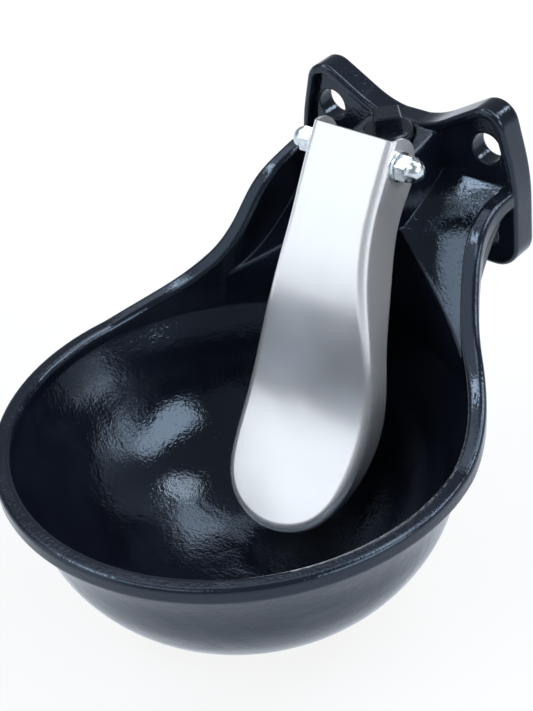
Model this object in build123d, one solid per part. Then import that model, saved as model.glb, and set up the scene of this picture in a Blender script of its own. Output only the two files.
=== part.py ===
from build123d import *
import math
import os

# Livestock drinking bowl: cast cup with a paddle-operated water valve.
# Millimetres. +Z up, the wall on the +Y side, +X to the right for one who faces the wall.
# Origin: centre of the four mounting holes, on the rear face of the flange (y = 0).

# --- wall flange ---
hole_span_x = 100.0          # mounting holes, across
hole_span_z = 48.0           # mounting holes, up
mount_hole_r = 8.75          # M16 clearance
flange_t = 15.0              # depth of the flange at its rim
flange_floor_t = 10.5        # depth left behind an ear pocket
flange_half = 70.0           # half width at the straight sides
flange_side_z = 10.0         # above this the sides lean in to the ears
flange_foot_z = -42.5        # lower corners
flange_foot_rise = 5.0       # arch of the lower edge
ear_x = 59.0                 # ear corner before it is rounded
ear_z = 55.0
ear_r = 12.0
dip_z = 20.5                 # dip between the ears before it is rounded
dip_r = 50.0
side_bend_r = 120.0
foot_corner_r = 14.0
flange_edge_r = 2.4
pocket_rim = 5.0             # rim left around an ear pocket
pocket_edge_r = 1.6

# --- round cup ---
cup_back_y = -40.0           # the rim circle, carried on, would meet the middle line here
rim_z = -70.0                # top of the rim around the cup
rim_r = 125.5                # outer radius of the rim bead
rim_w = 9.5                  # width of the rim
rim_h = 8.0                  # height of the bead
rim_edge_r = 2.4             # rounding of the rim outside
rim_inner_r = 3.0            # and inside
wall = 5.0                   # wall of the casting
cup_depth = 106.0            # rim to underside
cup_shape = [(0.955, 0.14), (0.88, 0.43), (0.735, 0.71), (0.43, 0.94)]    # share of radius, of depth

# --- neck between the cup and the flange ---
neck_half = 69.0             # half width at the flange
neck_sweep_r = 78.0          # plan radius that flares the neck into the cup
neck_top_z = 5.0             # rim height at the flange
ledge_z = 4.0                # neck floor at the foot of the ear pockets
ridge_r = 2.0                # rounding where the neck floor breaks off into the cup
neck_floor_t = 6.0
cup_mouth_grow = 0.2         # the turned room of the cup starts this much outside its wall
fall_end_y = -140.0          # the rim falls from where the neck flares to here
fall_shape = [(0.195, 0.093), (0.364, 0.408), (0.534, 0.752), (0.72, 0.915)]    # share of run, of drop

# --- valve housing block ---
block_half = 22.0
block_front_y = -50.0
block_top_z = 29.0           # at the flange
block_front_z = 24.0         # top of the block behind the hinge
block_step_y = -40.0
block_foot_z = -24.0
block_foot_y = -44.0         # the foot leans back to here
block_edge_r = 3.0           # upright front corners
block_top_r = 2.0
port_y = -27.0               # axis of the upright waterway
port_r = 12.05               # core radius of the G 3/4 ports
port_len = 16.0
port_boss_r = 19.0
port_foot_z = -44.0          # mouth of the lower port
waterway_r = 10.5

# --- hinge ---
hinge_y = -53.0
hinge_z = 28.0
hinge_boss_r = 9.4
thrust_r = hinge_boss_r - 2.2 # slippery rings stay clear of the paddle's bends
pin_r = 4.0                  # M8
pin_gap = 0.05
sleeve_r = 6.0
sleeve_gap = 0.1             # running fit in the casting
washer_r = 8.0
washer_t = 1.6
nut_af = 13.0
nut_hex_h = 6.5
nut_h = 13.5
nut_dome_r = 6.2
face_gap = 0.15              # between pieces that lie against each other

# --- paddle ---
sheet = 1.6
paddle_half = 25.5           # half width at the hinge
crease_r = 4.5               # outer bend between the face and the side flanges
lug_r = 14.0                 # rounded top of a side flange, about the hinge
paddle_top = (-57.0, 43.5)   # upper edge of the face, as (y, z)
face_line = [(-80.0, 5.5), (-94.0, -27.0), (-103.0, -64.0), (-114.0, -95.0), (-132.0, -120.0)]
paddle_toe = (-163.0, -152.0)
flange_line = [(-52.0, 2.0), (-72.0, -33.0), (-87.0, -63.0), (-101.0, -104.0), (-124.0, -131.0)]
side_line = [(33.0, -45.0), (40.5, -110.0), (33.0, -139.0)]    # half width against height
side_start_z = 10.0          # the sides stay parallel above this

# --- blanking plug ---
plug_af = 14.0
plug_head_turn = 43.5        # the head stopped at this angle when it was tightened
plug_head_h = 8.8
plug_thread_r = 13.2         # G 3/4 crest radius
plug_pitch = 1.81
plug_show = 7.2              # thread left standing out of the port
plug_in = 14.0
spot_face_r = 14.5           # flat round the upper port

# --- valve ---
valve_z = -4.0
valve_seat_r = 12.0          # M24 hole for the valve body
valve_gap = 0.05
nose_r = 9.4
nose_y = -30.0
body_bore_r = 7.8
tube_r = 8.0
tube_bore_r = 6.0
tube_y = -69.0
hex_af = 27.0
hex_t = 5.5
gasket_t = 1.0
seat_y = -52.0
orifice_r = 4.6
stem_r = 3.0
stem_gap = 0.1
disc_r = 7.0
disc_t = 2.5
disc_y = -50.8               # front face of the rubber disc, shut against the seat
holder_t = 1.6
rod_nut_af = 8.0
rod_nut_h = 3.2
spring_r = 5.6               # mean radius of the coil
spring_wire = 1.0
spring_turns = 5
retainer_t = 2.0
clip_t = 1.0
clip_groove = 0.7            # depth of the groove for the ring
button_r = 6.0
button_h = 6.5
button_dome_r = 8.4
button_in = 4.0              # depth of the stem in the button
stem_lead = 0.4              # gap between the button and the paddle
strainer_r = 7.6
strainer_h = 9.0
strainer_t = 0.8
seat_ring_r = 6.9
seat_ring_t = 3.0
rod_end_r = 2.5

# --- worked out from the sizes above ---
cup_y = cup_back_y - rim_r               # upright axis of the cup
wall_r = rim_r - rim_w + wall            # outer radius of the cup wall
cup_level = rim_z - rim_h                # where the straight wall meets the bottom
flare_x = neck_half + neck_sweep_r       # centre of the neck's flare, from above
flare_y = cup_y + math.sqrt((rim_r + neck_sweep_r) ** 2 - flare_x**2)
fall_start_y = flare_y                   # the neck runs straight and level behind this
high_z = ear_z + 40                      # above everything


# ---------------------------------------------------------------- small helpers
def side_profile(*edges):
    """Face in the YZ plane from edges given as (y, z)."""
    return Plane.YZ * make_face(list(edges))


def across(face, half):
    """Pull a YZ face out to both sides of the middle."""
    return extrude(face, amount=half, both=True)


def rod_x(radius, x0, x1, y, z):
    """Round bar along X."""
    return Pos((x0 + x1) / 2, y, z) * Rot(0, 90, 0) * Cylinder(radius, abs(x1 - x0))


def rod_y(radius, y0, y1):
    """Round bar along the valve axis."""
    return Pos(0, (y0 + y1) / 2, valve_z) * Rot(90, 0, 0) * Cylinder(radius, abs(y1 - y0))


def rod_z(radius, z0, z1, y=port_y):
    """Upright round bar, on the waterway axis unless told otherwise."""
    return Pos(0, y, (z0 + z1) / 2) * Cylinder(radius, abs(z1 - z0))


def prism_z(sketch, z0, z1):
    """Plan outline pulled up from z0 to z1."""
    return extrude(Pos(0, 0, z0) * sketch, amount=z1 - z0)


def hexagon(across_flats):
    """Hexagon given by its width across flats."""
    return RegularPolygon(across_flats / math.sqrt(3), 6)


def turned_y(*points):
    """Solid turned about the valve axis from (y, radius) corners."""
    outline = make_face(Plane.XY * Polyline(*[(r, y) for y, r in points], close=True))
    return Pos(0, 0, valve_z) * revolve(outline, axis=Axis.Y)


# ------------------------------------------------------------- the bowl casting
def rim_line():
    """Height of the rim from the flange to the front, as (y, z) edges."""
    run = fall_end_y - fall_start_y
    drop = rim_z - neck_top_z
    middle = [(fall_start_y + run * a, neck_top_z + drop * b) for a, b in fall_shape]
    ends = [(-1, 0), (-1, 0)]
    fall = Spline(
        (fall_start_y, neck_top_z), *middle, (fall_end_y, rim_z), tangents=ends, tangent_scalars=(0.5, 0.5)
    )
    front = (cup_y - 2 * rim_r, rim_z)
    return [Line((10, neck_top_z), (fall_start_y, neck_top_z)), fall, Line((fall_end_y, rim_z), front)]


def below_rim():
    """Everything under the rim surface."""
    front_y = cup_y - 2 * rim_r
    low = rim_z - 2 * cup_depth
    outline = rim_line() + [
        Line((front_y, rim_z), (front_y, low)),
        Line((front_y, low), (10, low)),
        Line((10, low), (10, neck_top_z)),
    ]
    return across(side_profile(*outline), 2 * rim_r)


def plan_outline(grow):
    """Rim seen from above, grown or shrunk: the round cup flared into the straight neck."""
    half = neck_half + grow
    cup = Pos(0, cup_y) * Circle(rim_r + grow)
    neck = Pos(0, cup_y / 2) * Rectangle(2 * half, -cup_y)
    outline = cup + neck
    corners = outline.vertices().filter_by(lambda v: abs(abs(v.X) - half) < 0.01 and v.Y < -1)
    return fillet(corners, neck_sweep_r - grow)


def cup_bottom(inset):
    """Lower part of the cup, turned; the inside is the same shape, smaller."""
    radius = wall_r - inset
    depth = cup_depth - rim_h - inset
    side = [(radius * a, cup_level - depth * b) for a, b in cup_shape]
    lowest = (0, cup_level - depth)
    face = make_face(
        [
            Spline((radius, cup_level), *side, lowest, tangents=[(-0.3, -1), (-1, 0)], tangent_scalars=(0.5, 1)),
            Line(lowest, (0, cup_level)),
            Line((0, cup_level), (radius, cup_level)),
        ]
    )
    return Pos(0, cup_y, 0) * revolve(Plane.XZ * face, axis=Axis.Z)


def floor_section(x, points, drop):
    """Upright YZ face at x that holds everything above the neck floor, or above its underside."""
    line = [(y, z - drop) for y, z in [(-flange_floor_t, ledge_z), *points]]
    back_y = line[0][0] + drop
    end_y, end_z = line[-1]
    edges = [Spline(*line), Line((end_y, end_z), (end_y, high_z)), Line((end_y, high_z), (back_y, high_z))]
    if drop:
        edges.append(Line((back_y, high_z), (back_y, line[0][1])))
    edges.append(Line((back_y, line[0][1] if drop else high_z), line[0]))
    return Pos(x, 0, 0) * side_profile(*edges)


def above_floor(start_x, drop=0.0):
    """Room above the neck floor on both sides: the floor falls away from the block to the walls."""
    near_block = [(-28.0, -4.0), (-50.0, -12.0), (-72.0, -20.0)]
    near_wall = [(-38.0, -22.0), (-65.0, -46.0), (-90.0, -60.0)]
    past_wall = [(-52.0, -34.0), (-97.0, -62.0), (-116.0, -68.0)]
    right = loft(
        [
            floor_section(start_x, near_block, drop),
            floor_section(0.9 * neck_half, near_wall, drop),
            floor_section(1.45 * neck_half, past_wall, drop),
        ]
    )
    return right, mirror(right, about=Plane.YZ)


def rim_height(y):
    """Height of the rim surface at y."""
    if y > fall_start_y:
        return neck_top_z
    if y < fall_end_y:
        return rim_z
    fall = rim_line()[1]
    near, far = 0.0, 1.0
    for _ in range(30):
        middle = (near + far) / 2
        if fall.position_at(middle).X > y:
            near = middle
        else:
            far = middle
    return fall.position_at(near).Y


def rim_edges(body, outside):
    """Edges that run along the rim surface, on its outside or its inside."""
    middle = plan_outline(-rim_w / 2).face()
    found = []
    for edge in body.edges():
        points = [edge.position_at(t) for t in (0.15, 0.5, 0.85)]
        across_rim = abs(points[0].Y - points[2].Y) < 0.01 and edge.length < 2 * rim_w
        on_rim = all(abs(p.Z - rim_height(p.Y)) < 0.02 for p in points)
        centre = points[1]
        if on_rim and not across_rim and middle.is_inside((centre.X, centre.Y, 0)) != outside:
            found.append(edge)
    return found


def rim_wall():
    """Upright wall round the cup and the neck, with a rounded rim that stands out as a bead."""
    ring = prism_z(plan_outline(0) - plan_outline(-rim_w), cup_level, high_z) & below_rim()
    ring = fillet(rim_edges(ring, True), rim_edge_r)
    ring = fillet(rim_edges(ring, False), rim_inner_r)
    around = plan_outline(rim_w) - plan_outline(wall_r - rim_r)
    skirt = prism_z(around, cup_level - 1, high_z)
    return ring - (skirt & (Pos(0, 0.6 * rim_h, -rim_h) * below_rim()))


def cup_room():
    """Space of the cup above its turned bottom, a little wider upwards."""
    height = high_z - cup_level
    low_r = wall_r - wall + cup_mouth_grow
    high_r = low_r + 0.014 * height
    upwards = (Align.CENTER, Align.CENTER, Align.MIN)
    return Pos(0, cup_y, cup_level) * Cone(low_r, high_r, height, align=upwards)


def neck_floor():
    """Sloping floor between the neck walls, with solid metal under the housing block."""
    slab = prism_z(plan_outline(wall / 2 - rim_w), cup_level, high_z)
    slab &= Pos(0, 0, -rim_h / 2) * below_rim()
    for room in [*above_floor(block_half - 1), cup_room()]:
        slab -= room
    return fillet(ridge_edges(slab), ridge_r)


def ridge_edges(floor):
    """Long edge on each side where the neck floor breaks off into the cup."""
    found = []
    for edge in floor.edges().filter_by(GeomType.BSPLINE):
        middle = edge.position_at(0.5)
        if math.hypot(middle.X, middle.Y - cup_y) < wall_r - wall / 2:
            found.append(edge)
    return sorted(found, key=lambda edge: edge.length)[-2:]


def under_neck():
    """Space below the neck floor, outside the cup."""
    space = prism_z(plan_outline(wall_r - rim_r), cup_level - 1, high_z)
    for kept in [*above_floor(0.0, neck_floor_t), rod_z(wall_r + 1.5, cup_level - 5, high_z, cup_y)]:
        space -= kept
    return space


def flange_outline():
    """Bow-tie outline of the wall flange, as (x, z)."""
    right = [
        (0, dip_z),
        (ear_x, ear_z),
        (flange_half, flange_side_z),
        (flange_half, flange_foot_z),
        (flange_half - 26, flange_foot_z),
        (20, flange_foot_z + flange_foot_rise),
    ]
    left = [(-x, z) for x, z in reversed(right[1:])]
    face = make_face(Polyline(*right, *left, close=True))
    for x, z, radius in (
        (0, dip_z, dip_r),
        (ear_x, ear_z, ear_r),
        (flange_half, flange_side_z, side_bend_r),
        (flange_half, flange_foot_z, foot_corner_r),
    ):
        corners = [v for v in face.vertices() if abs(abs(v.X) - x) < 0.01 and abs(v.Y - z) < 0.01]
        face = fillet(corners, radius)
    return face


def ear_pockets():
    """Material taken out of the front of both ears."""
    width = flange_half - block_half
    height = ear_z - ledge_z
    window = Pos(block_half + width / 2, ledge_z + height / 2) * Rectangle(width, height)
    pocket = offset(flange_outline(), -pocket_rim) & window
    right = Pos(0, -flange_floor_t, 0) * extrude(Plane.XZ * pocket, amount=flange_t)
    return right + mirror(right, about=Plane.YZ)


def flange():
    """Flange plate with a rounded front edge and pocketed ears."""
    plate = extrude(Plane.XZ * flange_outline(), amount=flange_t)
    plate = fillet(front_edges(plate), flange_edge_r) - ear_pockets()
    pocket_edges = [e for e in front_edges(plate) if e.center().Z > ledge_z + 0.1 or e.length < neck_half]
    return fillet(pocket_edges, pocket_edge_r)


def front_edges(plate):
    """Edges on the front face of the flange."""
    return plate.edges().filter_by(lambda e: abs(e.center().Y + flange_t) < 0.01)


def housing_block():
    """Block between the ears that carries the hinge and the valve."""
    side = make_face(
        Polyline(
            (0, block_top_z),
            (-flange_floor_t, block_top_z),
            (block_step_y, block_front_z),
            (block_front_y, block_front_z),
            (block_front_y, block_foot_z),
            (block_foot_y, block_foot_z - 10),
            (0, block_foot_z - 10),
            close=True,
        )
    )
    block = across(Plane.YZ * side, block_half)
    block = fillet(block.edges().filter_by(Axis.Z).sort_by(Axis.Y)[:2], block_edge_r)
    sides = [e for e in block.edges() if e.center().Z > block_front_z - 1 and abs(e.center().X) > 1]
    boss = rod_x(hinge_boss_r, -block_half, block_half, hinge_y, hinge_z)
    return fillet(sides, block_top_r) + boss


def water_passages():
    """Upright waterway with a port at each end, and the valve hole in front of it."""
    return [
        rod_z(waterway_r, port_foot_z, high_z),
        rod_z(port_r, port_foot_z - 1, port_foot_z + port_len),
        rod_z(port_r, block_front_z - port_len, high_z),
        rod_z(spot_face_r, block_front_z, high_z),
        rod_y(valve_seat_r, block_front_y - hex_t, port_y - port_r + 1),
        rod_y(nose_r + 0.6, port_y - port_r, port_y),
    ]


def mounting_holes():
    """Four through holes in the flange."""
    return [
        Pos(x, -flange_t / 2, z) * Rot(90, 0, 0) * Cylinder(mount_hole_r, 2 * flange_t)
        for x in (-hole_span_x / 2, hole_span_x / 2)
        for z in (-hole_span_z / 2, hole_span_z / 2)
    ]


def bowl_casting():
    """One iron casting: cup, neck, rim bead, flange and valve housing."""
    plate = flange()
    opening = prism_z(plan_outline(-rim_w), cup_level, ledge_z + pocket_rim)
    for room in above_floor(block_half - 1):
        plate -= room & opening
    boss = rod_z(port_boss_r, port_foot_z, ledge_z) - cup_room()
    cup = cup_bottom(0) - cup_bottom(wall)
    body = rim_wall() + neck_floor() - under_neck()
    body += cup + plate + boss + housing_block()
    bearing = rod_x(sleeve_r + sleeve_gap, -block_half - 1, block_half + 1, hinge_y, hinge_z)
    for cut in [*water_passages(), *mounting_holes(), bearing]:
        body -= cut
    return body


# ------------------------------------------------------------------- the paddle
def face_spline(dy=0.0, dz=0.0):
    """Side view of the paddle face from its upper edge to the toe."""
    points = [paddle_top, *face_line, paddle_toe]
    return Spline(*[(y + dy, z + dz) for y, z in points])


def face_y(z):
    """Where the outer face of the paddle stands at height z on the middle line."""
    line = face_spline()
    low, high = 0.0, 1.0
    for _ in range(40):
        middle = (low + high) / 2
        if line.position_at(middle).Y > z:
            low = middle
        else:
            high = middle
    return line.position_at(low).X


def paddle_front(inset):
    """Front view of the paddle as an (x, z) face, widening to a round toe."""
    half = paddle_half - inset
    toe_z = paddle_toe[1] + inset
    right = Spline(
        (half, side_start_z),
        *[(x - inset, z) for x, z in side_line],
        (0, toe_z),
        tangents=[(0, -1), (-1, 0)],
    )
    left = mirror(right, about=Plane.YZ)
    top = paddle_top[1] + 20
    return make_face(
        [right, left, Line((half, side_start_z), (half, top)), Line((half, top), (-half, top)),
         Line((-half, top), (-half, side_start_z))]
    )


def paddle_side():
    """Side view of the paddle with its flanges, as a YZ face."""
    lug = (hinge_y + lug_r, hinge_z)
    crown = (hinge_y, hinge_z + lug_r)
    half_way = math.sqrt(0.5) * lug_r
    low_back = (paddle_toe[0] + 6, paddle_toe[1] - 4)
    return side_profile(
        face_spline(),
        Line(paddle_toe, low_back),
        Spline(low_back, *reversed(flange_line), lug, tangents=[(1, 0.6), (0, 1)]),
        ThreePointArc(lug, (hinge_y + half_way, hinge_z + half_way), crown),
        Line(crown, paddle_top),
    )


def bend_creases(body, radius):
    """Rounds the creases between the paddle face and its turned-back sides."""
    creases = []
    for edge in body.edges().filter_by(GeomType.BSPLINE):
        middle = edge.position_at(0.5)
        if abs(middle.X) > paddle_half / 3 and abs(middle.Y - face_y(middle.Z)) < 2 * sheet:
            creases.append(edge)
    return fillet(creases, radius)


def paddle():
    """Pressed sheet paddle: a face with turned-back sides and a round toe."""
    reach = 2 * rim_r
    outer = across(paddle_side(), reach)
    outer &= extrude(Plane.XZ * paddle_front(0), amount=reach)
    outer = bend_creases(outer, crease_r)
    shift = (0.9 * sheet, -0.47 * sheet)
    top = (paddle_top[0] + shift[0], paddle_top[1] + shift[1])
    toe = (paddle_toe[0] + shift[0], paddle_toe[1] + shift[1])
    hollow = across(
        side_profile(
            face_spline(*shift),
            Line(toe, (toe[0] - 1, toe[1] - 20)),
            Line((toe[0] - 1, toe[1] - 20), (0, toe[1] - 20)),
            Line((0, toe[1] - 20), (0, top[1] + 20)),
            Line((0, top[1] + 20), (top[0] + 10, top[1] + 20)),
            Line((top[0] + 10, top[1] + 20), top),
        ),
        reach,
    )
    hollow &= extrude(Plane.XZ * paddle_front(sheet), amount=reach)
    body = outer - bend_creases(hollow, crease_r - sheet)
    return body - rod_x(pin_r + pin_gap, -reach, reach, hinge_y, hinge_z)


# -------------------------------------------------------------------- the hinge
def hinge_pin():
    """Stud through the casting, held by the cap nuts."""
    end = nut_seat_x() + nut_h - 4
    return rod_x(pin_r, -end, end, hinge_y, hinge_z)


def nut_seat_x():
    """Where a cap nut starts along X."""
    return paddle_half + 2 * face_gap + washer_t


def hinge_sleeve():
    """Spacer tube on the stud, turning in the casting."""
    end = paddle_half - sheet - face_gap
    tube = rod_x(sleeve_r, -end, end, hinge_y, hinge_z)
    return tube - rod_x(pin_r + pin_gap, -end - 1, end + 1, hinge_y, hinge_z)


def on_hinge(shape):
    """A piece drawn along +Z from the origin, placed on both ends of the hinge."""
    right = Pos(0, hinge_y, hinge_z) * Rot(0, 90, 0) * shape
    return right, mirror(right, about=Plane.YZ)


def ring(outer_r, inner_r, start, length):
    """Flat ring along +Z."""
    whole = Pos(0, 0, start + length / 2) * Cylinder(outer_r, length)
    return whole - Pos(0, 0, start + length / 2) * Cylinder(inner_r, length + 1)


def cap_nut():
    """Domed hexagon nut standing on its washer."""
    start = nut_seat_x()
    body = extrude(Pos(0, 0, start) * hexagon(nut_af), amount=nut_hex_h)
    trim = Pos(0, 0, start) * Cone(nut_af / 2 + 6.6, nut_af / 2 - 0.2, nut_hex_h + 0.8, align=(Align.CENTER, Align.CENTER, Align.MIN))
    body &= trim
    neck_h = nut_h - nut_hex_h - nut_dome_r
    dome_z = start + nut_hex_h + neck_h
    body += Pos(0, 0, start + (nut_hex_h + neck_h) / 2) * Cylinder(nut_dome_r, nut_hex_h + neck_h)
    body += Pos(0, 0, dome_z) * Sphere(nut_dome_r)
    bore = Pos(0, 0, start + (nut_h - 3.5) / 2 - 0.5) * Cylinder(pin_r + pin_gap, nut_h - 2.5)
    return body - bore


def thrust_washer():
    """Slippery ring between the casting and a paddle flange."""
    start = block_half + face_gap
    length = paddle_half - sheet - face_gap - start
    return ring(thrust_r, sleeve_r + sleeve_gap, start, length)


# ------------------------------------------------------------ the blanking plug
def blanking_plug():
    """Square-headed plug in the upper port, with some thread left standing out."""
    top = block_front_z + plug_show
    core_r = port_r - 0.05
    shank = rod_z(core_r, block_front_z - plug_in, top)
    teeth = int(plug_show / plug_pitch)
    for i in range(teeth):
        z = top - (i + 0.5) * plug_pitch
        crest = [(core_r - 0.5, z - plug_pitch / 2), (plug_thread_r, z), (core_r - 0.5, z + plug_pitch / 2)]
        tooth = revolve(Plane.XZ * make_face(Polyline(*crest, close=True)), axis=Axis.Z)
        shank += Pos(0, port_y, 0) * tooth
    square = Rot(0, 0, plug_head_turn) * Rectangle(plug_af, plug_af)
    head = extrude(Pos(0, port_y, top - 0.5) * square, amount=plug_head_h + 0.5)
    head = chamfer(head.edges().group_by(Axis.Z)[-1], 1.0)
    return shank + head


# -------------------------------------------------------------------- the valve
def valve_body():
    """Brass body screwed into the block: nose in the waterway, guide tube in the bowl."""
    hex_back = block_front_y - gasket_t
    hex_front = hex_back - hex_t
    body = turned_y(
        (nose_y, 0), (nose_y, nose_r), (port_y - port_r, nose_r),
        (port_y - port_r, valve_seat_r - valve_gap), (hex_front, valve_seat_r - valve_gap),
        (hex_front, tube_r), (tube_y, tube_r), (tube_y, 0),
    )
    collar = Pos(0, hex_back, valve_z) * Rot(90, 0, 0) * extrude(hexagon(hex_af), amount=hex_t)
    body += collar
    body -= rod_y(body_bore_r, nose_y + 1, seat_y)
    body -= rod_y(seat_ring_r, seat_y + 1, seat_y - seat_ring_t)
    body -= rod_y(tube_bore_r, seat_y, tube_y + 4)
    body -= rod_y(stem_r + stem_gap, tube_y + 5, tube_y - 1)
    body -= rod_y(body_bore_r + clip_groove, clip_y() - 0.05, clip_y() + clip_t + 0.05)
    slot = Box(40, 6, 4)
    for angle in (0, 90):
        body -= Pos(0, (hex_front + tube_y) / 2 + 0.5, valve_z) * Rot(0, angle, 0) * slot
    return body


def valve_gasket():
    """Flat ring under the hexagon of the valve body."""
    outer = rod_y(hex_af / 2, block_front_y - face_gap / 2, block_front_y - gasket_t + face_gap / 2)
    return outer - rod_y(valve_seat_r + 0.1, block_front_y + 1, block_front_y - 5)


def valve_seat():
    """Ring with a raised lip for the disc to close on."""
    back = seat_y + 1.0
    front = seat_y - seat_ring_t
    body = turned_y(
        (front + 0.05, orifice_r), (front + 0.05, seat_ring_r - 0.05), (seat_y, seat_ring_r - 0.05),
        (seat_y, orifice_r + 1.6), (back, orifice_r + 0.6), (back, orifice_r),
    )
    return body


def valve_disc():
    """Rubber washer that closes on the seat."""
    return rod_y(disc_r, disc_y, disc_y + disc_t) - rod_y(stem_r + 0.05, disc_y - 1, disc_y + disc_t + 1)


def disc_holder():
    """Brass cup behind the rubber disc, which also carries the spring."""
    back = disc_y + disc_t + 0.05
    body = rod_y(disc_r + 0.4, back, back + holder_t)
    return body - rod_y(stem_r + 0.05, back - 1, back + holder_t + 1)


def disc_nut():
    """Nut that clamps the disc and its holder on the stem."""
    start = disc_y + disc_t + holder_t + 0.1
    nut = Pos(0, start + rod_nut_h, valve_z) * Rot(90, 0, 0) * extrude(hexagon(rod_nut_af), amount=rod_nut_h)
    return nut - rod_y(rod_end_r + 0.05, start - 1, start + rod_nut_h + 1)


def dome_centre_y():
    """Centre of the button's dome, so that it just clears the sloping paddle."""
    face = face_y(valve_z)
    run = face_y(valve_z - 1) - face
    square_on = 1 / math.sqrt(1 + run**2)
    return face + (button_dome_r + stem_lead + sheet) / square_on


def button_tip_y():
    """Front of the button."""
    return dome_centre_y() - button_dome_r


def valve_stem():
    """Push rod with a collar in front of the disc and a thinner threaded end."""
    start = button_tip_y() + button_h - button_in
    shoulder = disc_y + disc_t + holder_t + 0.1
    body = rod_y(stem_r, start, shoulder)
    body += rod_y(orifice_r - 1.0, disc_y - 2.2, disc_y - 0.05)
    return body + rod_y(rod_end_r, shoulder - 0.5, shoulder + rod_nut_h + 1.5)


def stem_button():
    """Domed cap on the front of the stem, which the paddle pushes."""
    tip = button_tip_y()
    back = tip + button_h
    dome = Pos(0, dome_centre_y(), valve_z) * Sphere(button_dome_r)
    body = rod_y(button_r, tip + 2.5, back) + (dome & rod_y(button_r, tip - 1, tip + 3))
    return body - rod_y(stem_r + 0.05, back - button_in - 0.05, back + 1)


def valve_spring():
    """Coil that shuts the valve."""
    start = disc_y + disc_t + holder_t + 0.1 + spring_wire / 2
    end = retainer_y() - 0.1 - spring_wire / 2
    pitch = (end - start) / spring_turns
    path = Helix(pitch=pitch, height=end - start, radius=spring_r)
    section = Plane(origin=path @ 0, z_dir=path % 0) * Circle(spring_wire / 2)
    coil = sweep(section, path=path)
    return Pos(0, start, valve_z) * Rot(-90, 0, 0) * coil


def clip_y():
    """Front face of the retaining ring."""
    return nose_y - clip_t - 0.8


def retainer_y():
    """Front face of the spring retainer."""
    return clip_y() - 0.1 - retainer_t


def spring_retainer():
    """Perforated disc that the spring bears on."""
    y = retainer_y()
    body = rod_y(body_bore_r - 0.1, y, y + retainer_t) - rod_y(rod_end_r + 1.0, y - 1, y + retainer_t + 1)
    for i in range(6):
        hole = Rot(0, 60 * i, 0) * Pos(0, 0, 5.4) * Rot(90, 0, 0) * Cylinder(1.1, 3 * retainer_t)
        body -= Pos(0, y, valve_z) * hole
    return body


def retaining_ring():
    """Snap ring in a groove in the nose, behind the retainer."""
    y = clip_y()
    body = rod_y(body_bore_r + clip_groove - 0.1, y, y + clip_t) - rod_y(body_bore_r - 1.4, y - 1, y + clip_t + 1)
    gap = Pos(0, y, valve_z - body_bore_r) * Box(3.0, 4 * clip_t, 6)
    return body - gap


def strainer():
    """Hat-shaped sieve just above the end of the supply pipe."""
    base = port_foot_z + port_len + strainer_t + 0.1
    brim = rod_z(waterway_r - 0.1, base - strainer_t, base)
    hat = rod_z(strainer_r, base - strainer_t, base + strainer_h)
    hole = rod_z(strainer_r - strainer_t, base - strainer_t - 1, base + strainer_h - strainer_t)
    body = brim + hat - hole
    for i in range(6):
        slot = Pos(0, port_y, base + strainer_h / 2) * Rot(0, 0, 30 * i) * Box(40, 1.6, strainer_h - 3.5)
        body -= slot
    return body


# ------------------------------------------------------------------ the sub-parts
single_parts = {
    "bowl_casting": bowl_casting,
    "paddle": paddle,
    "hinge_pin": hinge_pin,
    "hinge_sleeve": hinge_sleeve,
    "blanking_plug": blanking_plug,
    "valve_body": valve_body,
    "valve_gasket": valve_gasket,
    "valve_seat": valve_seat,
    "valve_disc": valve_disc,
    "disc_holder": disc_holder,
    "disc_nut": disc_nut,
    "valve_stem": valve_stem,
    "stem_button": stem_button,
    "valve_spring": valve_spring,
    "spring_retainer": spring_retainer,
    "retaining_ring": retaining_ring,
    "strainer": strainer,
}

paired_parts = {
    "hinge_cap_nuts": cap_nut,
    "hinge_washers": lambda: ring(washer_r, pin_r + 0.3, paddle_half + face_gap, washer_t),
    "hinge_thrust_washers": thrust_washer,
}

os.makedirs("parts", exist_ok=True)
for name, make in single_parts.items():
    export_step(make(), f"parts/{name}.step")
for name, make in paired_parts.items():
    export_step(Compound(children=list(on_hinge(make()))), f"parts/{name}.step")
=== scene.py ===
import math

import bpy
from mathutils import Matrix, Vector


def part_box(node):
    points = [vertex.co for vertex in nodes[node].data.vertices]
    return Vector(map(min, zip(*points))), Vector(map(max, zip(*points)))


# Livestock drinking bowl: black enamelled casting, satin steel paddle, brass valve.
# Metres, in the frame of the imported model: +Z up, the wall on the +Y side.

MM = 0.001
WHITE = (1, 1, 1)

# camera: where it looks, from which direction, and how it is turned
VIEW_TARGET = Vector((0.0, -0.1387, -0.0466))
VIEW_AZIMUTH = 43.53                          # degrees from straight in front towards +X
VIEW_ELEVATION = 35.54
VIEW_ROLL = -6.95
VIEW_DISTANCE = 0.895
FOCAL_PX = 1762.0                             # focal length in pixels of the picture
IMAGE_WIDTH_PX = 533
SENSOR_MM = 36.0

# far panels of light, in degrees: azimuth from the front towards +X, elevation, half width,
# half height and soft border, and then the level
FRONT_PANEL = (-36, 27, 20, 27, 10, 1.08)     # whitens the paddle
SIDE_PANEL = (92, 26, 18, 11, 2, 6.4)         # bright patch in the left of the cup
HIGH_PANEL = (168, 63, 24, 6, 4, 3.8)         # second, streaky patch under it
NECK_PANEL = (-14, 58, 15, 8, 4, 3.6)         # sheen on the neck floor
LEFT_PANEL = (-108, 54, 20, 9, 6, 1.5)        # broad light on the rim
RIM_PANEL = (146, 42, 11, 5, 2, 12.0)         # thin line inside the rim
EDGE_PANEL = (-68, 56, 10, 4, 2, 11.0)        # thin line along the outer edge of the rim
PANELS = (FRONT_PANEL, SIDE_PANEL, HIGH_PANEL, NECK_PANEL, LEFT_PANEL, RIM_PANEL, EDGE_PANEL)

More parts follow.
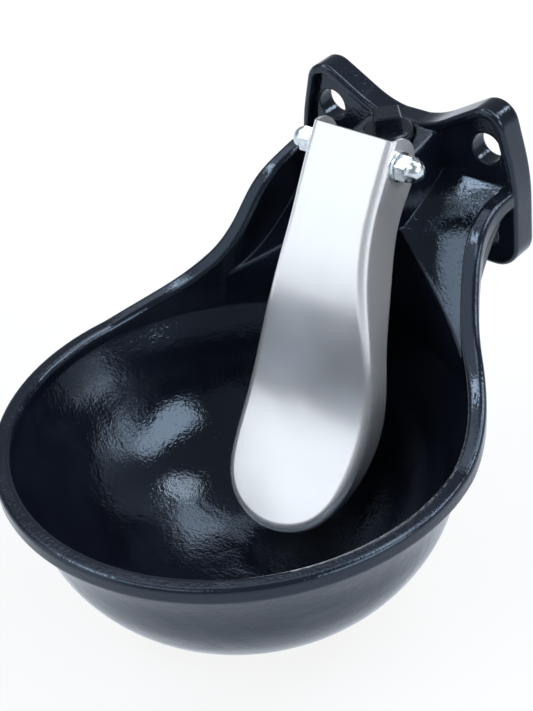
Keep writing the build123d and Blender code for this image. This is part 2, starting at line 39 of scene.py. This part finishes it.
# room behind the panels: a brighter band along the floor fades into a dim room
BAND_LEVEL = 0.60
ROOM_LEVEL = 0.30
BAND_TOP = 0.02                               # as sines of the elevation
FADE_TOP = 0.16
COOL = (0.85, 0.915, 1.0)                     # tint of everything that the bowl mirrors

# lamp above the bowl, for the soft shadow and the small highlights
KEY_DIRECTION = (0.29, 0.35, 0.89)
KEY_DISTANCE = 1.7
KEY_SIZE = 0.5
KEY_WATTS = 4.0

# floor
FLOOR_DROP = 0.5 * MM                         # below the lowest point of the bowl
FLOOR_REACH = 6.0
FLOOR_COLOUR = (0.90, 0.90, 0.905, 1)
FLOOR_GLOW_SHARE = 0.86                       # share of plain white that hides the floor's shading
FLOOR_MIRRORED_LEVEL = 1.05                   # level of the glow for rays other than the camera's

# finishes
NOISE_LOW = 0.3                               # usual range of the noise's value
NOISE_HIGH = 0.7
BEVEL_SAMPLES = 6

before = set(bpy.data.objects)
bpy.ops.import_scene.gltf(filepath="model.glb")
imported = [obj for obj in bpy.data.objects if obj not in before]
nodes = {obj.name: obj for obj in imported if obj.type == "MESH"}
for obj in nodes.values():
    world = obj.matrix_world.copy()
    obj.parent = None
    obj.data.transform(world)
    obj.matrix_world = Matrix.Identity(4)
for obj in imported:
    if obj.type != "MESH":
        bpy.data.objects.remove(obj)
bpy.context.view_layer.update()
floor_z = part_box("bowl_casting")[0][2] - FLOOR_DROP


# ---------------------------------------------------------------- node helpers
def new_material(name):
    """Empty node material with a Principled shader."""
    material = bpy.data.materials.new(name)
    material.use_nodes = True
    tree = material.node_tree
    tree.nodes.clear()
    out = tree.nodes.new("ShaderNodeOutputMaterial")
    shader = tree.nodes.new("ShaderNodeBsdfPrincipled")
    tree.links.new(shader.outputs["BSDF"], out.inputs["Surface"])
    return material, tree, shader


def object_point(tree, stretch=(1, 1, 1), start=(0, 0, 0)):
    """Position on the object in metres, stretched along the axes and moved."""
    where = tree.nodes.new("ShaderNodeTexCoord")
    mapping = tree.nodes.new("ShaderNodeMapping")
    mapping.inputs["Scale"].default_value = stretch
    mapping.inputs["Location"].default_value = start
    tree.links.new(where.outputs["Object"], mapping.inputs["Vector"])
    return mapping.outputs["Vector"]


def noise(tree, point, waves, detail=2.0, roughness=0.5, distortion=0.0):
    """Noise value from 0 to 1, with so many waves in a metre."""
    node = tree.nodes.new("ShaderNodeTexNoise")
    node.inputs["Scale"].default_value = waves
    node.inputs["Detail"].default_value = detail
    node.inputs["Roughness"].default_value = roughness
    node.inputs["Distortion"].default_value = distortion
    tree.links.new(point, node.inputs["Vector"])
    return node.outputs["Fac"]


def mapped(tree, value, from_range, to_range, shape="LINEAR"):
    """Value carried from one range to another, and held at the ends."""
    node = tree.nodes.new("ShaderNodeMapRange")
    node.interpolation_type = shape
    node.inputs["From Min"].default_value = from_range[0]
    node.inputs["From Max"].default_value = from_range[1]
    node.inputs["To Min"].default_value = to_range[0]
    node.inputs["To Max"].default_value = to_range[1]
    tree.links.new(value, node.inputs["Value"])
    return node.outputs["Result"]


def spread(tree, value, low, high):
    """Noise value spread from low to high."""
    return mapped(tree, value, (NOISE_LOW, NOISE_HIGH), (low, high))


def two_colours(tree, value, first, second):
    """Colour between two, by a value from 0 to 1."""
    node = tree.nodes.new("ShaderNodeMix")
    node.data_type = "RGBA"
    node.inputs["A"].default_value = (*first, 1)
    node.inputs["B"].default_value = (*second, 1)
    tree.links.new(value, node.inputs["Factor"])
    return node.outputs["Result"]


def maths(tree, operation, *values):
    """Math node on sockets or numbers."""
    node = tree.nodes.new("ShaderNodeMath")
    node.operation = operation
    for i, value in enumerate(values):
        if isinstance(value, (int, float)):
            node.inputs[i].default_value = value
        else:
            tree.links.new(value, node.inputs[i])
    return node.outputs["Value"]


def rounded(tree, radius):
    """Normal that rounds the sharp edges."""
    node = tree.nodes.new("ShaderNodeBevel")
    node.samples = BEVEL_SAMPLES
    node.inputs["Radius"].default_value = radius
    return node.outputs["Normal"]


def bumped(tree, value, height, normal=None):
    """Normal moved by a value; height is that of its full range, in metres."""
    node = tree.nodes.new("ShaderNodeBump")
    node.inputs["Distance"].default_value = height
    node.inputs["Strength"].default_value = 1.0
    tree.links.new(value, node.inputs["Height"])
    if normal is not None:
        tree.links.new(normal, node.inputs["Normal"])
    return node.outputs["Normal"]


def wire(tree, shader, **sockets):
    """Link outputs to the shader's sockets, named with _ for each space."""
    for name, output in sockets.items():
        tree.links.new(output, shader.inputs[name.replace("_", " ")])


# ------------------------------------------------------------------- materials
def enamel():
    """Thick glossy blue-black enamel that flowed over a rough casting."""
    deep, thin = (0.0038, 0.0048, 0.0088), (0.0066, 0.0085, 0.0150)
    glossy, dull = 0.05, 0.12
    pool_height, ripple_height, peel_height = 0.7 * MM, 0.12 * MM, 0.12 * MM
    edge = 1.6 * MM
    material, tree, shader = new_material("enamel_black")
    point = object_point(tree)
    pool = noise(tree, point, waves=30.0, roughness=0.45, distortion=0.4)
    ripple = noise(tree, point, waves=130.0, distortion=0.4)
    peel = noise(tree, point, waves=560.0, roughness=0.55, distortion=0.2)
    gloss = noise(tree, point, waves=75.0, detail=3.0)
    soft = bumped(tree, pool, pool_height, rounded(tree, edge))
    wavy = bumped(tree, ripple, ripple_height, soft)
    wire(
        tree, shader,
        Base_Color=two_colours(tree, spread(tree, pool, 0.0, 1.0), deep, thin),
        Roughness=spread(tree, gloss, glossy, dull),
        Normal=bumped(tree, peel, peel_height, wavy),
    )
    shader.inputs["Specular IOR Level"].default_value = 0.55
    shader.inputs["Specular Tint"].default_value = (0.66, 0.82, 1.0, 1)
    return material


def satin_steel():
    """Pressed stainless sheet with a soft satin finish, faintly cloudy and wavy from the press."""
    dark, light = (0.86, 0.85, 0.84), (0.92, 0.91, 0.895)
    stretch, start = (1, 0.5, 0.5), (0.313, 0.171, 0.057)
    wave_height = 0.7 * MM
    material, tree, shader = new_material("steel_satin")
    cloud = noise(tree, object_point(tree, stretch, start), waves=70.0)
    wave = noise(tree, object_point(tree), waves=24.0, detail=1.0, roughness=0.4)
    wire(
        tree, shader,
        Base_Color=two_colours(tree, cloud, dark, light),
        Normal=bumped(tree, wave, wave_height),
    )
    shader.inputs["Roughness"].default_value = 0.27
    shader.inputs["Metallic"].default_value = 0.76
    return material


def plated_steel(name, bright, stained, glossy=0.16, dull=0.36):
    """Zinc plate or plain bright steel, slightly cloudy."""
    cloud_height, edge = 0.03 * MM, 0.45 * MM
    material, tree, shader = new_material(name)
    cloud = noise(tree, object_point(tree), waves=380.0, detail=4.0, roughness=0.6, distortion=0.5)
    wire(
        tree, shader,
        Base_Color=two_colours(tree, spread(tree, cloud, 0.0, 1.0), stained, bright),
        Roughness=spread(tree, cloud, dull, glossy),
        Normal=bumped(tree, cloud, cloud_height, rounded(tree, edge)),
    )
    shader.inputs["Metallic"].default_value = 1.0
    return material


def brass():
    """Turned brass with fine tool marks round the valve axis."""
    stained, bright = (0.50, 0.36, 0.15), (0.70, 0.53, 0.26)
    glossy, dull = 0.26, 0.42
    mark_stretch = (0.15, 3.0, 0.15)          # long round the axis, short along it
    mark_height, edge = 0.02 * MM, 0.4 * MM
    material, tree, shader = new_material("brass_turned")
    marks = noise(tree, object_point(tree, mark_stretch), waves=900.0)
    stain = noise(tree, object_point(tree), waves=160.0, detail=4.0, roughness=0.6)
    wire(
        tree, shader,
        Base_Color=two_colours(tree, spread(tree, stain, 0.0, 1.0), stained, bright),
        Roughness=spread(tree, stain, dull, glossy),
        Normal=bumped(tree, marks, mark_height, rounded(tree, edge)),
    )
    shader.inputs["Metallic"].default_value = 1.0
    return material


def moulded(name, light, dark, roughness, waves=700.0, height=0.03 * MM):
    """Plastic, rubber or fibre: matt, with a fine grain."""
    uneven, edge = 0.06, 0.3 * MM
    material, tree, shader = new_material(name)
    grain = noise(tree, object_point(tree), waves, detail=4.0, roughness=0.6)
    wire(
        tree, shader,
        Base_Color=two_colours(tree, spread(tree, grain, 0.0, 1.0), dark, light),
        Roughness=spread(tree, grain, roughness - uneven, roughness + uneven),
        Normal=bumped(tree, grain, height, rounded(tree, edge)),
    )
    return material


def plug_paint():
    """Thin black paint on malleable iron."""
    deep, thin = (0.004, 0.005, 0.008), (0.009, 0.011, 0.016)
    glossy, dull = 0.18, 0.30
    grain_height, edge = 0.05 * MM, 0.6 * MM
    material, tree, shader = new_material("paint_black")
    grain = noise(tree, object_point(tree), waves=520.0, detail=4.0, roughness=0.6)
    wire(
        tree, shader,
        Base_Color=two_colours(tree, spread(tree, grain, 0.0, 1.0), deep, thin),
        Roughness=spread(tree, grain, glossy, dull),
        Normal=bumped(tree, grain, grain_height, rounded(tree, edge)),
    )
    shader.inputs["Specular Tint"].default_value = (0.75, 0.88, 1.0, 1)
    return material


zinc = plated_steel("zinc_bright", (0.80, 0.85, 0.87), (0.62, 0.67, 0.70))
stainless = plated_steel("stainless_plain", (0.66, 0.66, 0.67), (0.54, 0.54, 0.55), glossy=0.22, dull=0.40)
nylon = moulded("nylon_natural", (0.80, 0.79, 0.73), (0.72, 0.70, 0.64), roughness=0.45)
fibre = moulded(
    "fibre_red", (0.30, 0.11, 0.08), (0.20, 0.07, 0.05),
    roughness=0.75, waves=900.0, height=0.06 * MM,
)
rubber = moulded("rubber_black", (0.035, 0.035, 0.036), (0.022, 0.022, 0.023), roughness=0.65)
turned_brass = brass()
finishes = {
    "bowl_casting": enamel(),
    "paddle": satin_steel(),
    "hinge_pin": zinc,
    "hinge_cap_nuts": zinc,
    "hinge_washers": zinc,
    "hinge_sleeve": stainless,
    "hinge_thrust_washers": nylon,
    "blanking_plug": plug_paint(),
    "valve_body": turned_brass,
    "disc_holder": turned_brass,
    "disc_nut": turned_brass,
    "spring_retainer": turned_brass,
    "valve_gasket": fibre,
    "valve_seat": nylon,
    "stem_button": nylon,
    "valve_disc": rubber,
    "valve_stem": stainless,
    "valve_spring": stainless,
    "retaining_ring": stainless,
    "strainer": stainless,
}
for name, finish in finishes.items():
    for slot in nodes[name].material_slots:
        slot.material = finish


# ------------------------------------------------------------- floor and light
def glow_over(tree, shader):
    """Plain glow over the floor's own shading, for camera and mirror rays only."""
    path = tree.nodes.new("ShaderNodeLightPath")
    camera, mirror = path.outputs["Is Camera Ray"], path.outputs["Is Glossy Ray"]
    level = mapped(tree, camera, (0.0, 1.0), (FLOOR_MIRRORED_LEVEL, 1.0))
    glow = tree.nodes.new("ShaderNodeEmission")
    tree.links.new(two_colours(tree, camera, COOL, WHITE), glow.inputs["Color"])
    tree.links.new(level, glow.inputs["Strength"])
    share = maths(tree, "MULTIPLY", maths(tree, "MAXIMUM", camera, mirror), FLOOR_GLOW_SHARE)
    mix = tree.nodes.new("ShaderNodeMixShader")
    tree.links.new(share, mix.inputs["Fac"])
    tree.links.new(shader.outputs["BSDF"], mix.inputs[1])
    tree.links.new(glow.outputs["Emission"], mix.inputs[2])
    return mix.outputs["Shader"]


def plain_floor():
    """Wide pale floor that looks white and keeps the bowl's shadow."""
    reach = FLOOR_REACH
    corners = [(-reach, -reach), (reach, -reach), (reach, reach), (-reach, reach)]
    mesh = bpy.data.meshes.new("floor")
    mesh.from_pydata([(x, y, floor_z) for x, y in corners], [], [(0, 1, 2, 3)])
    floor = bpy.data.objects.new("floor", mesh)
    bpy.context.collection.objects.link(floor)
    material, tree, shader = new_material("floor_white")
    shader.inputs["Base Color"].default_value = FLOOR_COLOUR
    shader.inputs["Roughness"].default_value = 0.9
    shader.inputs["Specular IOR Level"].default_value = 0.1
    out = next(node for node in tree.nodes if node.type == "OUTPUT_MATERIAL")
    tree.links.new(glow_over(tree, shader), out.inputs["Surface"])
    mesh.materials.append(material)


def along(tree, ray, axis):
    """Share of the ray along an axis."""
    node = tree.nodes.new("ShaderNodeVectorMath")
    node.operation = "DOT_PRODUCT"
    tree.links.new(ray, node.inputs[0])
    node.inputs[1].default_value = axis
    return node.outputs["Value"]


def panel(tree, ray, azimuth, elevation, half_wide, half_high, soft, level):
    """Far bright panel with soft borders, in the terms of the list above."""
    turn, rise = math.radians(azimuth), math.radians(elevation)
    ahead = Vector((math.sin(turn) * math.cos(rise), -math.cos(turn) * math.cos(rise), math.sin(rise)))
    side = Vector((math.cos(turn), math.sin(turn), 0))
    nearly_none = 0.001                       # stands for rays that run away from the panel
    ahead_share = maths(tree, "MAXIMUM", along(tree, ray, ahead), nearly_none)
    masks = []
    for axis, half in ((side, half_wide), (side.cross(ahead), half_high)):
        offset = maths(tree, "ABSOLUTE", maths(tree, "DIVIDE", along(tree, ray, axis), ahead_share))
        inner = math.tan(math.radians(half - soft))
        outer = math.tan(math.radians(half + soft))
        masks.append(mapped(tree, offset, (inner, outer), (1.0, 0.0), "SMOOTHSTEP"))
    return maths(tree, "MULTIPLY", maths(tree, "MULTIPLY", *masks), level)


def studio_world():
    """Dim room with bright panels round the bowl; the camera sees it white."""
    world = bpy.data.worlds.new("studio")
    bpy.context.scene.world = world
    world.use_nodes = True
    tree = world.node_tree
    background = tree.nodes["Background"]
    ray = tree.nodes.new("ShaderNodeTexCoord").outputs["Generated"]
    height = along(tree, ray, (0, 0, 1))
    total = mapped(tree, height, (BAND_TOP, FADE_TOP), (BAND_LEVEL, ROOM_LEVEL), "SMOOTHSTEP")
    for values in PANELS:
        total = maths(tree, "ADD", total, panel(tree, ray, *values))
    camera = tree.nodes.new("ShaderNodeLightPath").outputs["Is Camera Ray"]
    seen = tree.nodes.new("ShaderNodeMix")
    seen.inputs["B"].default_value = 1.0
    tree.links.new(camera, seen.inputs["Factor"])
    tree.links.new(total, seen.inputs["A"])
    tree.links.new(seen.outputs["Result"], background.inputs["Strength"])
    tree.links.new(two_colours(tree, camera, COOL, WHITE), background.inputs["Color"])


def key_lamp():
    """Square lamp that looks at the bowl from above."""
    lamp = bpy.data.lights.new("key", "AREA")
    lamp.shape = "RECTANGLE"
    lamp.size = KEY_SIZE
    lamp.size_y = KEY_SIZE
    lamp.energy = KEY_WATTS
    holder = bpy.data.objects.new("key", lamp)
    bpy.context.collection.objects.link(holder)
    away = Vector(KEY_DIRECTION).normalized()
    holder.location = VIEW_TARGET + away * KEY_DISTANCE
    holder.rotation_euler = (-away).to_track_quat("-Z", "Y").to_euler()


def photo_camera():
    """Camera at the measured viewing angle."""
    azimuth = math.radians(VIEW_AZIMUTH)
    elevation = math.radians(VIEW_ELEVATION)
    roll = math.radians(VIEW_ROLL)
    flat = math.cos(elevation)
    ahead = Vector((-math.sin(azimuth) * flat, math.cos(azimuth) * flat, -math.sin(elevation)))
    right = Vector((math.cos(azimuth), math.sin(azimuth), 0))
    up = right.cross(ahead)
    turned_right = math.cos(roll) * right + math.sin(roll) * up
    turned_up = -math.sin(roll) * right + math.cos(roll) * up
    data = bpy.data.cameras.new("camera")
    data.sensor_fit = "HORIZONTAL"
    data.sensor_width = SENSOR_MM
    data.lens = SENSOR_MM * FOCAL_PX / IMAGE_WIDTH_PX
    camera = bpy.data.objects.new("camera", data)
    bpy.context.collection.objects.link(camera)
    turn = Matrix((turned_right, turned_up, -ahead)).transposed()
    camera.matrix_world = Matrix.Translation(VIEW_TARGET - ahead * VIEW_DISTANCE) @ turn.to_4x4()
    bpy.context.scene.camera = camera


plain_floor()
studio_world()
key_lamp()
photo_camera()
bpy.context.scene.view_settings.view_transform = "Standard"
